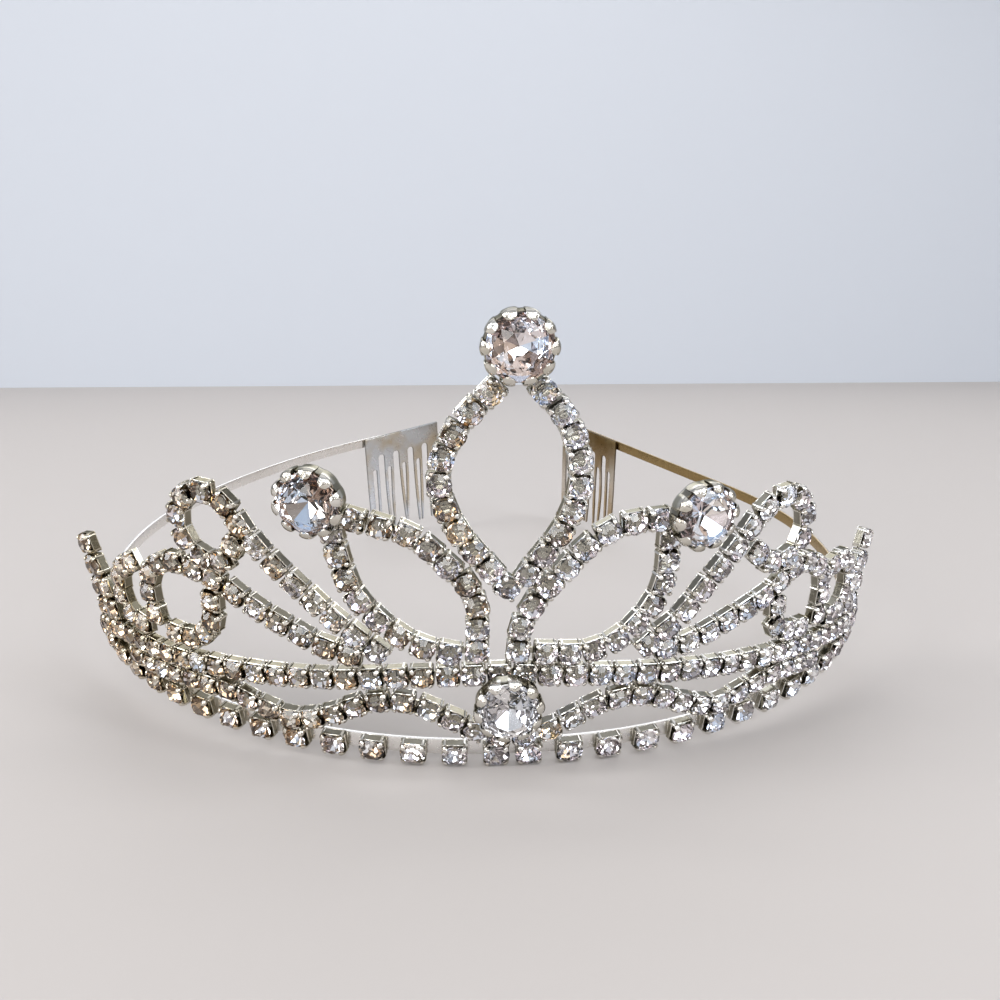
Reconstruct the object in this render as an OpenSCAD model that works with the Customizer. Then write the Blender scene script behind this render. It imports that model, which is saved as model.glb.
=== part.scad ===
// Rhinestone tiara: cup chains soldered on a sprung strip headband with two hair combs.
// The object stands on its front fringe cups and its comb tips. Front is -Y, left is -X.

/* [Headband] */
// Radius of the strip's outer face at the front, which is a little flatter
front_radius = 96; // [85:1:110]
// Length of the flatter front, each side of the centre
front_length = 8; // [4:1:12]
// Radius of the strip's outer face round the sides
side_radius = 72.4; // [70:0.1:76]
// Length along the strip from the front centre to the end of its round sides
side_length = 151.4; // [145:0.1:156]
// Radius of the strip's left back stretch, where it springs open; the right one is straight
back_radius = 144; // [130:1:170]
// Height of the strip
strip_h = 2.5; // [2.2:0.1:3]
// Thickness of the strip
strip_t = 0.6; // [0.5:0.1:0.8]
// Length along the strip from the front centre to its left end
left_length = 229; // [225:1:232]
// Length along the strip from the front centre to its right end
right_length = 217; // [213:1:220]
// Height of the strip's lower edge above the table at the front
front_lift = 1.25; // [1.15:0.05:1.3]
// Angle by which the standing ring rises towards its back
tilt = 9.7; // [9:0.1:10.5]

/* [Cup chain] */
// Distance from one cup of a chain to the next
pitch = 3.6; // [3.5:0.05:3.7]
// Width and height of a cup
cup_w = 3.2; // [3:0.05:3.3]
// Depth of a cup's metal, from its back to its face
cup_depth = 2; // [1.8:0.1:2.2]
// Bevel of a cup's corners
cup_bevel = 0.45; // [0.3:0.05:0.6]
// Diameter of a small stone where it leaves the cup
chaton_d = 2.9; // [2.7:0.05:3]
// Height by which a small stone stands out of its cup
chaton_rise = 0.4; // [0.3:0.1:0.6]

/* [Fringe] */
// Distance from one fringe cup to the next
fringe_pitch = 5.95; // [5.8:0.05:6.1]
// Distance between the two cups at the front centre
fringe_gap = 4.8; // [4.5:0.1:5]
// Number of fringe cups on the left and on the right
fringe_count = 15; // [13:1:15]

/* [Big stones] */
// Diameter of a big stone
stone_d = 8.6; // [8.4:0.1:8.8]
// Height of a big stone from its lower point to its flat table
stone_h = 3.8; // [3.6:0.1:4.2]
// Wall of a claw setting
setting_t = 0.4; // [0.3:0.05:0.45]
// Number of claws round a setting
claw_count = 10; // [8:1:12]

/* [Combs] */
// Width of a comb
comb_w = 25; // [22:1:26]
// Thickness of a comb's plate
comb_t = 0.7; // [0.6:0.1:1]
// Length along the strip from the front centre to the left comb
left_comb_at = 209.7; // [207:0.1:210]
// Angle by which the left comb's free end is turned up
left_rise = 3; // [0:0.5:4]
// Length along the strip from the front centre to the right comb
right_comb_at = 196.3; // [195:0.1:198]

/* [Hidden] */
$fn = 48;

silver = [0.80, 0.80, 0.78];
tarnished = [0.72, 0.69, 0.62];
glass = [0.90, 0.90, 0.95];

// How far the wall of chains leans outwards: at the front centre, and at its two ends
lean_front = 1;
lean_left = 8;
lean_right = 3;
wall_end = 90;

// How far the faces of the low chains and of the fringe nod down
row_nod = 4;
garland_nod = 8;
fringe_nod = 10;

// Chain routes: place along the strip's front (s) and height above the strip's lower edge (h).
// They follow the bent chains of the two sides, which are alike but not mirror images.
//                    s     h
main_route =       [[-80, 4.5], [-74, 6.4], [-66, 8.1], [-54, 9.1], [-44, 10.3], [-32, 11.6], [-22, 12.9],
                    [-12, 14], [0, 14.4], [6, 13.8], [12, 13.4], [22, 12.3], [32, 11.1], [44, 9.7],
                    [54, 8.2], [64, 6.2], [71, 5], [76, 4.5]];
garland_route =    [[-65.2, 4.75], [-60, 5.05], [-53, 5.8], [-47, 6.3], [-42, 6.4], [-37, 5.3], [-32, 4.4],
                    [-26.5, 6], [-20, 9.2], [-14, 9.4], [-9.5, 7.4], [-4, 4.5], [0, 4.3], [4, 4.5],
                    [9.5, 7.2], [14, 9], [20, 8.8], [26.5, 6], [32, 4.4], [37, 5.3], [42, 6.2], [47, 5.9],
                    [54.2, 4.65]];
loop_route =       [[2.9, 55], [6.4, 50.4], [8, 43.5], [6.4, 37], [2.2, 30.7], [-0.4, 27.6], [-3.2, 30.2],
                    [-8, 36.4], [-10.2, 43.4], [-8, 50.2], [-3.7, 55]];
left_scroll_route = [[-21.2, 37.4], [-15.2, 36], [-12, 34], [-9.2, 31.2], [-6.8, 28.5], [-5.3, 25],
                    [-5.2, 21.6], [-5.2, 18]];
left_arm_route =   [[-9, 17.7], [-12.5, 18.6], [-15.6, 20.2], [-18.8, 22.8], [-21.6, 26.2], [-23.2, 30.5],
                    [-24.2, 35.6]];
right_scroll_route = [[19.2, 36.6], [15.2, 36.4], [12, 35.4], [9.4, 33.4], [7, 30.8], [4.8, 28.2],
                    [2.4, 25], [0.8, 21.6], [0.4, 17.9]];
right_arm_route =  [[4.2, 17.4], [7.4, 17.2], [10.6, 17.3], [14, 18.5], [17.4, 21.2], [20, 25], [20.9, 29],
                    [20.9, 33.6]];
left_wing_route =  [[-18.9, 17.6], [-23.6, 21.2], [-26.8, 24], [-32.4, 29.2], [-36.8, 34], [-39.4, 37.8],
                    [-43.2, 39], [-46.6, 36.8], [-47.6, 32.6], [-45, 28.9], [-41, 28.6], [-38.6, 31.4]];
left_branch_route = [[-22.7, 16.6], [-26.4, 17.4], [-29.8, 18.9], [-36, 21.8], [-43, 25.4], [-50, 26.4],
                    [-55, 24], [-57, 20], [-56.6, 15.6]];
left_drop_route =  [[-43.8, 21.6], [-44.6, 17.4], [-48, 14.2], [-52.4, 13.6]];
left_end_route =   [[-60.6, 23.4], [-64.4, 20.8], [-66, 16.6], [-64.4, 13.2], [-60.8, 12.6]];
left_post_route =  [[-76.4, 9.6], [-77, 14], [-78.4, 20.6]];
left_brace_route = [[-71.4, 10.9], [-72.2, 14.5], [-74.6, 17.4]];
right_wing_route = [[19, 17.3], [23.4, 20.6], [27.2, 24.8], [32, 30.2], [37, 35.6], [41.8, 36.8],
                    [45.2, 34.2], [46, 30.2], [43.8, 26.8], [39.6, 26.4], [36.4, 28.6]];
right_branch_route = [[22, 16.2], [25, 16.4], [28, 17.2], [31.6, 18.4], [39.4, 21], [44.6, 24], [49, 24],
                    [53, 21.4], [54.4, 17.4], [54, 13]];
right_drop_route = [[42, 18.4], [42.6, 15], [45.2, 13.2], [49, 12.5]];
right_end_route =  [[57, 20.8], [61, 20.8], [64.4, 18], [65, 14], [62.2, 11], [58.6, 11]];
right_post_route = [[72, 8.4], [73, 13], [75.2, 19.4]];
right_brace_route = [[67.9, 9.6], [68.8, 13.2], [70.9, 16.2]];

// The strip's outer face in plan, from the front centre to the right: a flat front arc, a round side
// and a back stretch with its own bend, whose radius is zero where it is straight.
function degrees(length, radius) = radius == 0 ? 0 : length / radius * 180 / PI;
function run(length, radius, start) =
    radius == 0 ? length * [cos(start), sin(start)]
    : let (end = start + degrees(length, radius)) radius * [sin(end) - sin(start), cos(start) - cos(end)];
front_angle = degrees(front_length, front_radius);
side_angle = front_angle + degrees(side_length - front_length, side_radius);
side_start = run(front_length, front_radius, 0);
back_start = side_start + run(side_length - front_length, side_radius, front_angle);
function heading(s, bend) =
    s <= front_length ? degrees(s, front_radius)
    : s <= side_length ? front_angle + degrees(s - front_length, side_radius)
    : side_angle + degrees(s - side_length, bend);
function place(s, bend) =
    s <= front_length ? run(s, front_radius, 0)
    : s <= side_length ? side_start + run(s - front_length, side_radius, front_angle)
    : back_start + run(s - side_length, bend, side_angle);

// A smooth curve through a route's points
curve_steps = 6;
function curve_point(a, b, c, d, t) =
    0.5 * (2 * b + (c - a) * t + (2 * a - 5 * b + 4 * c - d) * t * t + (3 * b - a - 3 * c + d) * t * t * t);
function curve(route) = [
    for (i = [0 : len(route) - 2])
        for (k = [0 : curve_steps - 1])
            curve_point(route[max(i - 1, 0)], route[i], route[i + 1],
                        route[min(i + 2, len(route) - 1)], k / curve_steps),
    route[len(route) - 1]];

// Length of a path up to its point i
function length_to(path, i) = i == 0 ? 0 : length_to(path, i - 1) + norm(path[i] - path[i - 1]);
function lengths(path) = [for (i = [0 : len(path) - 1]) length_to(path, i)];

// The point of a path at a length along it, found on the piece that holds it
function piece_at(marks, d) = max([for (i = [0 : len(marks) - 2]) if (i == 0 || marks[i] <= d) i]);
function point_at(path, marks, d) =
    let (i = piece_at(marks, d), t = (d - marks[i]) / (marks[i + 1] - marks[i]))
    path[i] + (path[i + 1] - path[i]) * t;

// Cups along a route, evenly spaced near the pitch: each is [s, h, direction]
function cups(route) =
    let (path = curve(route), marks = lengths(path), total = marks[len(marks) - 1],
         n = round(total / pitch))
    [for (k = [0 : n])
        let (d = total * k / n, p = point_at(path, marks, d),
             a = point_at(path, marks, max(d - 0.6, 0)), b = point_at(path, marks, min(d + 0.6, total)))
        [p[0], p[1], atan2(b[1] - a[1], b[0] - a[0])]];

// Outward lean of the wall at a place along the strip
function lean(s) = lean_front + ((s < 0 ? lean_left : lean_right) - lean_front) * abs(s) / wall_end;

// The standing ring: tilted so that its back is raised, with the middle of its plan over the origin
middle_y = 77;
module standing() translate([0, -middle_y, front_lift]) rotate([tilt, 0, 0]) children();

// Sets a piece at the strip's outer face: -Y is outwards; bend is the radius of that side's back stretch
module on_strip(s, bend) {
    p = place(abs(s), bend);
    side = sign(s);
    translate([side * p[0], p[1], 0])
        rotate([0, 0, side * heading(abs(s), bend)])
            children();
}

// Sets a piece on the wall at s, h: -Y is outwards, Z is up along the wall
module on_wall(s, h) on_strip(s, 0)
    rotate([lean(s), 0, 0])
        translate([0, 0, h])
            children();

// One cup with its stone, which is let a little into the cup; the cup's back lies in the wall's face
chaton_seat = 0.2;
module cup() {
    half = cup_w / 2;
    flat = half - cup_bevel;
    rotate([90, 0, 0]) {
        linear_extrude(cup_depth)
            polygon([[half, -flat], [half, flat], [flat, half], [-flat, half],
                     [-half, flat], [-half, -flat], [-flat, -half], [flat, -half]]);
        translate([0, 0, cup_depth - chaton_seat])
            cylinder(h = chaton_rise + chaton_seat, r1 = chaton_d / 2, r2 = chaton_d / 4);
    }
}

// A bar that joins two places of the wall behind the cups' faces
link_w = 1.2;
link_t = 0.5;
link_back = 0.3;
module link(from, to) {
    d = [to[0] - from[0], to[1] - from[1]];
    on_wall((from[0] + to[0]) / 2, (from[1] + to[1]) / 2)
        rotate([0, -atan2(d[1], d[0]), 0])
            translate([-norm(d) / 2, -link_back - link_t, -link_w / 2])
                cube([norm(d), link_t, link_w]);
}

// A chain of cups along a route, joined by its links
module chain(route, nod = 0) {
    places = cups(route);
    for (c = places)
        on_wall(c[0], c[1])
            rotate([nod, 0, 0])
                rotate([0, -c[2], 0])
                    cup();
    for (i = [0 : len(places) - 2])
        link(places[i], places[i + 1]);
}

// Chains soldered to each other: each row of ties holds two places that a bar joins
module soldered(routes, ties) {
    for (route = routes)
        chain(route);
    for (tie = ties)
        link(tie[0], tie[1]);
}

// The strip in plan: points of one side from the front centre to its end, on its outer face or inset
strip_step = 2.5;
function side_line(side, length, bend, inset) =
    let (n = round(length / strip_step))
    [for (k = [0 : n])
        let (s = length * k / n, p = place(s, bend), a = heading(s, bend))
        [side * (p[0] - inset * sin(a)), p[1] + inset * cos(a)]];
function reversed(points) = [for (i = [len(points) - 1 : -1 : 0]) points[i]];
function without_first(points) = [for (i = [1 : len(points) - 1]) points[i]];
module strip()
    linear_extrude(strip_h)
        polygon(concat(reversed(side_line(-1, left_length, back_radius, 0)),
                       without_first(side_line(1, right_length, 0, 0)),
                       reversed(side_line(1, right_length, 0, strip_t)),
                       without_first(side_line(-1, left_length, back_radius, strip_t))));

// A fringe cup: it nods down, its back is let into the strip and its top is level with the strip's top
fringe_seat = 0.1;
module fringe_cup(s) on_strip(s, 0)
    translate([0, fringe_seat, strip_h - cup_w / 2 * cos(fringe_nod)])
        rotate([fringe_nod, 0, 0])
            cup();

module headband() color(silver) standing() {
    strip();
    for (k = [0 : fringe_count - 1]) {
        fringe_cup(fringe_gap / 2 + k * fringe_pitch);
        fringe_cup(-fringe_gap / 2 - k * fringe_pitch);
    }
}

// A comb's outline: teeth forked by slits, their gaps widening to the pointed tips
tooth_count = 5;
slot_w = 2;
slit_w = 1.3;
slot_top = 5.6;
slit_top = 9.8;
tip_taper = 7;
tip_w = 0.5;
module comb_gap(top, w, length) {
    wide = comb_w / tooth_count / 2 - tip_w;
    translate([0, -top - w / 2]) circle(d = w);
    polygon([[-w / 2, -top - w / 2], [w / 2, -top - w / 2], [w / 2, tip_taper - length],
             [wide / 2, -length], [wide / 2, -length - 1], [-wide / 2, -length - 1],
             [-wide / 2, -length], [-w / 2, tip_taper - length]]);
}
module comb_plate(length) {
    tooth_w = comb_w / tooth_count;
    rotate([90, 0, 0])
        linear_extrude(comb_t)
            difference() {
                translate([-comb_w / 2, -length]) square([comb_w, length]);
                for (i = [1 : tooth_count - 1])
                    translate([i * tooth_w - comb_w / 2, 0]) comb_gap(slot_top, slot_w, length);
                for (i = [0 : tooth_count - 1])
                    translate([(i + 0.5) * tooth_w - comb_w / 2, 0]) comb_gap(slit_top, slit_w, length);
            }
}

// The comb inside the strip's end, long enough for its first tooth to reach the table. It is flat, so where
// the strip bends it stands off by the bend's depth; rise turns its free end up about its first corner.
comb_off = 0.15;
module comb(at, bend, rise) {
    middle = at + comb_w / 2;
    angle = heading(middle, bend);
    inset = strip_t + comb_off + comb_t + (bend == 0 ? 0 : comb_w * comb_w / 8 / bend);
    foot_y = place(middle, bend)[1] + inset * cos(angle) - comb_w / 2 * sin(angle);
    swing = sin(rise) * sin(angle) * sin(tilt);
    drop = (front_lift + foot_y * sin(tilt) + strip_h * swing) / (cos(tilt) - swing);
    on_strip(middle, bend)
        translate([-comb_w / 2, inset, strip_h])
            rotate([0, -rise, 0])
                translate([comb_w / 2, 0, 0])
                    comb_plate(strip_h + drop);
}

module left_comb() color(tarnished) standing() mirror([1, 0, 0]) comb(left_comb_at, back_radius, left_rise);
module right_comb() color(tarnished) standing() comb(right_comb_at, 0, 0);

module main_row() color(silver) standing() chain(main_route, row_nod);
module lower_garland() color(silver) standing() chain(garland_route, garland_nod);
module centre_loop() color(silver) standing() chain(loop_route);
module left_scroll() color(silver) standing()
    soldered([left_scroll_route, left_arm_route], [[[-5.2, 18], [-9, 17.7]]]);
module right_scroll() color(silver) standing()
    soldered([right_scroll_route, right_arm_route], [[[0.4, 17.9], [4.2, 17.4]]]);
module left_wing() color(silver) standing()
    soldered([left_wing_route, left_branch_route, left_drop_route, left_end_route, left_post_route,
              left_brace_route],
             [[[-18.9, 17.6], [-22.7, 16.6]], [[-38.6, 31.4], [-37, 34]], [[-41, 28.6], [-43, 25.4]],
              [[-43, 25.4], [-43.8, 21.6]], [[-52.4, 13.6], [-56.6, 15.6]], [[-57, 20], [-60.6, 23.4]],
              [[-66, 15.7], [-72.2, 14.5]], [[-74.6, 17.4], [-77.6, 17]]]);
module right_wing() color(silver) standing()
    soldered([right_wing_route, right_branch_route, right_drop_route, right_end_route, right_post_route,
              right_brace_route],
             [[[19, 17.3], [22, 16.2]], [[43.8, 26.8], [44.6, 24]], [[42, 18.4], [41.4, 21.9]],
              [[49, 12.5], [54, 13]], [[53, 21.4], [57, 20.8]], [[65, 14], [68.8, 13.2]],
              [[70.9, 16.2], [73.9, 15.8]]]);

// A big stone's round section: pointed back, thin girdle, sloped crown and flat table
girdle_h = 0.3;
crown_h = 1.3;
table_d = 4.6;
culet_at = 0.4;
girdle_at = culet_at + stone_h - crown_h - girdle_h;
module stone() rotate([90, 0, 0])
    rotate_extrude()
        polygon([[0, culet_at], [stone_d / 2, girdle_at], [stone_d / 2, girdle_at + girdle_h],
                 [table_d / 2, culet_at + stone_h], [0, culet_at + stone_h]]);

// A claw setting: a round cup with a seat for the stone and claws that lean over its crown
seat_gap = 0.06;
seat_ledge = 0.4;
claw_w = 1.5;
claw_reach = 0.75;
module setting() rotate([90, 0, 0]) {
    inner = stone_d / 2 + seat_gap;
    outer = inner + setting_t;
    slope = crown_h / (stone_d / 2 - table_d / 2);
    rim = girdle_at + girdle_h;
    rotate_extrude()
        polygon([[0, 0], [outer - 0.6, 0], [outer, 0.6], [outer, rim], [inner, rim],
                 [inner, girdle_at - seat_ledge], [inner - seat_ledge, girdle_at - 2 * seat_ledge],
                 [0, culet_at - 0.2]]);
    intersection() {
        rotate_extrude()
            polygon([[inner, rim - 0.3], [outer, rim - 0.3], [outer, rim + 0.2],
                     [inner - claw_reach, rim + claw_reach * slope + 0.45],
                     [inner - claw_reach, rim + claw_reach * slope + 0.15], [inner, rim + 0.15]]);
        for (i = [0 : claw_count - 1])
            rotate([0, 0, 360 / claw_count * i])
                translate([stone_d / 4, -claw_w / 2, 0])
                    cube([stone_d / 2, claw_w, stone_h + culet_at + 1]);
    }
}

// Places of the big stones on the wall, and how far each stands forward
//                 s     h  forward
top_place =    [-0.4,   61,  0];
left_place =   [-25.5,  41,  2.2];
right_place =  [23.9, 37.8,  2.2];
bottom_place = [  -1, 10.8,  2.6];
module at_big(place) standing()
    on_wall(place[0], place[1])
        translate([0, -place[2], 0])
            children();

module top_setting() color(silver) at_big(top_place) setting();
module left_setting() color(silver) at_big(left_place) setting();
module right_setting() color(silver) at_big(right_place) setting();
module bottom_setting() color(silver) at_big(bottom_place) setting();
module top_stone() color(glass) at_big(top_place) stone();
module left_stone() color(glass) at_big(left_place) stone();
module right_stone() color(glass) at_big(right_place) stone();
module bottom_stone() color(glass) at_big(bottom_place) stone();

headband();
left_comb();
right_comb();
main_row();
lower_garland();
centre_loop();
left_scroll();
right_scroll();
left_wing();
right_wing();
top_setting();
left_setting();
right_setting();
bottom_setting();
top_stone();
left_stone();
right_stone();
bottom_stone();
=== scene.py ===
"""Looks of the rhinestone tiara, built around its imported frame. Its sizes are in millimetres."""
import math
import random

import bmesh
import bpy
import numpy as np
from mathutils import Matrix, Vector


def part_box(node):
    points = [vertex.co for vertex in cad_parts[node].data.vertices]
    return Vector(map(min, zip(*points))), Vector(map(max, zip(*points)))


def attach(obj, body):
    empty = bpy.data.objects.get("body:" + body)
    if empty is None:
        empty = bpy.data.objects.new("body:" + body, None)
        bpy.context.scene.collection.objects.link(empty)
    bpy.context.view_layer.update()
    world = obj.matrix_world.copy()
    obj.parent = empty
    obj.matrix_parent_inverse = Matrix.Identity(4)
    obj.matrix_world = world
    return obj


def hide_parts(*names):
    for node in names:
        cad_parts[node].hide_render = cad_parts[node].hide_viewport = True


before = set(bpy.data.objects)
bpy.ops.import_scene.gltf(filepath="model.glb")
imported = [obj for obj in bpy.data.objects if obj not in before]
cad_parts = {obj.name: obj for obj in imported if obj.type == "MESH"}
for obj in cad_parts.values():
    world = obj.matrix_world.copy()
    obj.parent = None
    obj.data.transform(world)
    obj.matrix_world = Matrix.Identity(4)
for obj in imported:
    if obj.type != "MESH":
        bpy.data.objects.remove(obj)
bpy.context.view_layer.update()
random.seed(7)

# A mesh is made in metres
MM = 0.001

# The strip, with the sizes of the CAD: its lengths are measured along it from the middle of the front
FRONT_RADIUS, FRONT_LENGTH = 96, 8
SIDE_RADIUS, SIDE_LENGTH = 72.4, 151.4
BACK_RADIUS = 144
LEFT_LENGTH, RIGHT_LENGTH = 229, 217
STRIP_H, STRIP_T = 2.5, 0.6
# The ring stands tilted: height of its lower edge at the front, angle by which it rises, and its middle
FRONT_LIFT, TILT, MIDDLE_Y = 1.25, math.radians(9.7), 77
# Angles by which the wall of chains leans outwards at the front and at its two ends
LEAN_FRONT, LEAN_LEFT, LEAN_RIGHT, WALL_END = 1, 8, 3, 90
# Angles by which the faces of the low chains and of the fringe nod down
ROW_NOD, GARLAND_NOD, FRINGE_NOD = 4, 8, 10
# Distance between the cups of a chain, and a cup's height
PITCH, CUP_W = 3.6, 3.2
# The fringe: distance between its cups and between the middle two, cups a side, and how far they are let in
FRINGE_PITCH, FRINGE_GAP, FRINGE_COUNT, FRINGE_SEAT = 5.95, 4.8, 15, 0.1

# Chain routes: place along the strip's front and height above the strip's lower edge
ROUTES = {
    "main": [(-80, 4.5), (-74, 6.4), (-66, 8.1), (-54, 9.1), (-44, 10.3), (-32, 11.6), (-22, 12.9),
        (-12, 14), (0, 14.4), (6, 13.8), (12, 13.4), (22, 12.3), (32, 11.1), (44, 9.7), (54, 8.2),
        (64, 6.2), (71, 5), (76, 4.5)],
    "garland": [(-65.2, 4.75), (-60, 5.05), (-53, 5.8), (-47, 6.3), (-42, 6.4), (-37, 5.3), (-32, 4.4),
        (-26.5, 6), (-20, 9.2), (-14, 9.4), (-9.5, 7.4), (-4, 4.5), (0, 4.3), (4, 4.5), (9.5, 7.2),
        (14, 9), (20, 8.8), (26.5, 6), (32, 4.4), (37, 5.3), (42, 6.2), (47, 5.9), (54.2, 4.65)],
    "loop": [(2.9, 55), (6.4, 50.4), (8, 43.5), (6.4, 37), (2.2, 30.7), (-0.4, 27.6), (-3.2, 30.2),
        (-8, 36.4), (-10.2, 43.4), (-8, 50.2), (-3.7, 55)],
    "left_scroll": [(-21.2, 37.4), (-15.2, 36), (-12, 34), (-9.2, 31.2), (-6.8, 28.5), (-5.3, 25),
        (-5.2, 21.6), (-5.2, 18)],
    "left_arm": [(-9, 17.7), (-12.5, 18.6), (-15.6, 20.2), (-18.8, 22.8), (-21.6, 26.2), (-23.2, 30.5),
        (-24.2, 35.6)],
    "right_scroll": [(19.2, 36.6), (15.2, 36.4), (12, 35.4), (9.4, 33.4), (7, 30.8), (4.8, 28.2),
        (2.4, 25), (0.8, 21.6), (0.4, 17.9)],
    "right_arm": [(4.2, 17.4), (7.4, 17.2), (10.6, 17.3), (14, 18.5), (17.4, 21.2), (20, 25),
        (20.9, 29), (20.9, 33.6)],
    "left_wing": [(-18.9, 17.6), (-23.6, 21.2), (-26.8, 24), (-32.4, 29.2), (-36.8, 34), (-39.4, 37.8),
        (-43.2, 39), (-46.6, 36.8), (-47.6, 32.6), (-45, 28.9), (-41, 28.6), (-38.6, 31.4)],
    "left_branch": [(-22.7, 16.6), (-26.4, 17.4), (-29.8, 18.9), (-36, 21.8), (-43, 25.4), (-50, 26.4),
        (-55, 24), (-57, 20), (-56.6, 15.6)],
    "left_drop": [(-43.8, 21.6), (-44.6, 17.4), (-48, 14.2), (-52.4, 13.6)],
    "left_end": [(-60.6, 23.4), (-64.4, 20.8), (-66, 16.6), (-64.4, 13.2), (-60.8, 12.6)],
    "left_post": [(-76.4, 9.6), (-77, 14), (-78.4, 20.6)],
    "left_brace": [(-71.4, 10.9), (-72.2, 14.5), (-74.6, 17.4)],
    "right_wing": [(19, 17.3), (23.4, 20.6), (27.2, 24.8), (32, 30.2), (37, 35.6), (41.8, 36.8),
        (45.2, 34.2), (46, 30.2), (43.8, 26.8), (39.6, 26.4), (36.4, 28.6)],
    "right_branch": [(22, 16.2), (25, 16.4), (28, 17.2), (31.6, 18.4), (39.4, 21), (44.6, 24),
        (49, 24), (53, 21.4), (54.4, 17.4), (54, 13)],
    "right_drop": [(42, 18.4), (42.6, 15), (45.2, 13.2), (49, 12.5)],
    "right_end": [(57, 20.8), (61, 20.8), (64.4, 18), (65, 14), (62.2, 11), (58.6, 11)],
    "right_post": [(72, 8.4), (73, 13), (75.2, 19.4)],
    "right_brace": [(67.9, 9.6), (68.8, 13.2), (70.9, 16.2)],
}

# Bars between two chains of one motif, where they are soldered together
LEFT_SCROLL_TIES = [((-5.2, 18), (-9, 17.7))]
RIGHT_SCROLL_TIES = [((0.4, 17.9), (4.2, 17.4))]
LEFT_WING_TIES = [((-18.9, 17.6), (-22.7, 16.6)), ((-38.6, 31.4), (-37, 34)), ((-41, 28.6), (-43, 25.4)),
                  ((-43, 25.4), (-43.8, 21.6)), ((-52.4, 13.6), (-56.6, 15.6)), ((-57, 20), (-60.6, 23.4)),
                  ((-66, 15.7), (-72.2, 14.5)), ((-74.6, 17.4), (-77.6, 17))]
RIGHT_WING_TIES = [((19, 17.3), (22, 16.2)), ((43.8, 26.8), (44.6, 24)), ((42, 18.4), (41.4, 21.9)),
                   ((49, 12.5), (54, 13)), ((53, 21.4), (57, 20.8)), ((65, 14), (68.8, 13.2)),
                   ((70.9, 16.2), (73.9, 15.8))]


# Places on the strip and the wall

def turn(degrees, axis):
    return Matrix.Rotation(math.radians(degrees), 4, axis)


def shift(x, y, z):
    return Matrix.Translation((x, y, z))


STANDING = shift(0, -MIDDLE_Y, FRONT_LIFT) @ Matrix.Rotation(TILT, 4, "X")
# A cup's own axes are x along the chain, y across it and z out of its face
FACING = turn(90, "X")


def clamp(value, low=0.0, high=1.0):
    return min(high, max(low, value))


def run(length, radius, start):
    """The way covered along an arc that begins with the heading start; a radius of 0 is a straight line."""
    if radius == 0:
        return np.array([length * math.cos(start), length * math.sin(start)])
    end = start + length / radius
    return radius * np.array([math.sin(end) - math.sin(start), math.cos(start) - math.cos(end)])


def place(s, bend=0):
    """Point of the strip's outer face in plan at s >= 0, and its heading; bend is the radius of its back."""
    front = FRONT_LENGTH / FRONT_RADIUS
    if s <= FRONT_LENGTH:
        return run(s, FRONT_RADIUS, 0), s / FRONT_RADIUS
    point = run(FRONT_LENGTH, FRONT_RADIUS, 0)
    if s <= SIDE_LENGTH:
        heading = front + (s - FRONT_LENGTH) / SIDE_RADIUS
        return point + run(s - FRONT_LENGTH, SIDE_RADIUS, front), heading
    side = front + (SIDE_LENGTH - FRONT_LENGTH) / SIDE_RADIUS
    point = point + run(SIDE_LENGTH - FRONT_LENGTH, SIDE_RADIUS, front)
    over = s - SIDE_LENGTH
    return point + run(over, bend, side), side + (over / bend if bend else 0)


def on_strip(s):
    """Axes at a place on the front or the sides of the strip: x along it, y inwards and z up its face."""
    point, heading = place(abs(s))
    side = -1 if s < 0 else 1
    return STANDING @ shift(side * point[0], point[1], 0) @ Matrix.Rotation(side * heading, 4, "Z")


def on_wall(s, h):
    """Axes at a height h on the leaning wall above a place on the strip."""
    lean = LEAN_FRONT + ((LEAN_LEFT if s < 0 else LEAN_RIGHT) - LEAN_FRONT) * abs(s) / WALL_END
    return on_strip(s) @ turn(lean, "X") @ shift(0, 0, h)


def curve(route, steps=6):
    """A smooth line through a route's points."""
    points = []
    last = len(route) - 1
    for i in range(last):
        a, b, c, d = (np.array(route[k], float) for k in (max(i - 1, 0), i, i + 1, min(i + 2, last)))
        for k in range(steps):
            t = k / steps
            points.append(0.5 * (2 * b + (c - a) * t + (2 * a - 5 * b + 4 * c - d) * t * t
                                 + (3 * b - a - 3 * c + d) * t ** 3))
    return np.array(points + [np.array(route[last], float)])


# A cup's direction is measured between two points of its route, this far before and after it
REACH = 0.6


def cups(route):
    """Cups along a route: each is (s, h, direction)."""
    path = curve(route)
    marks = np.concatenate([[0], np.cumsum(np.linalg.norm(np.diff(path, axis=0), axis=1))])
    total = marks[-1]
    count = round(total / PITCH)

    def at(d):
        return np.array([np.interp(d, marks, path[:, 0]), np.interp(d, marks, path[:, 1])])

    found = []
    for k in range(count + 1):
        d = total * k / count
        middle, a, b = at(d), at(max(d - REACH, 0)), at(min(d + REACH, total))
        found.append((middle[0], middle[1], math.degrees(math.atan2(b[1] - a[1], b[0] - a[0]))))
    return found


# Shapes: each is an array of points and a list of faces

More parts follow.
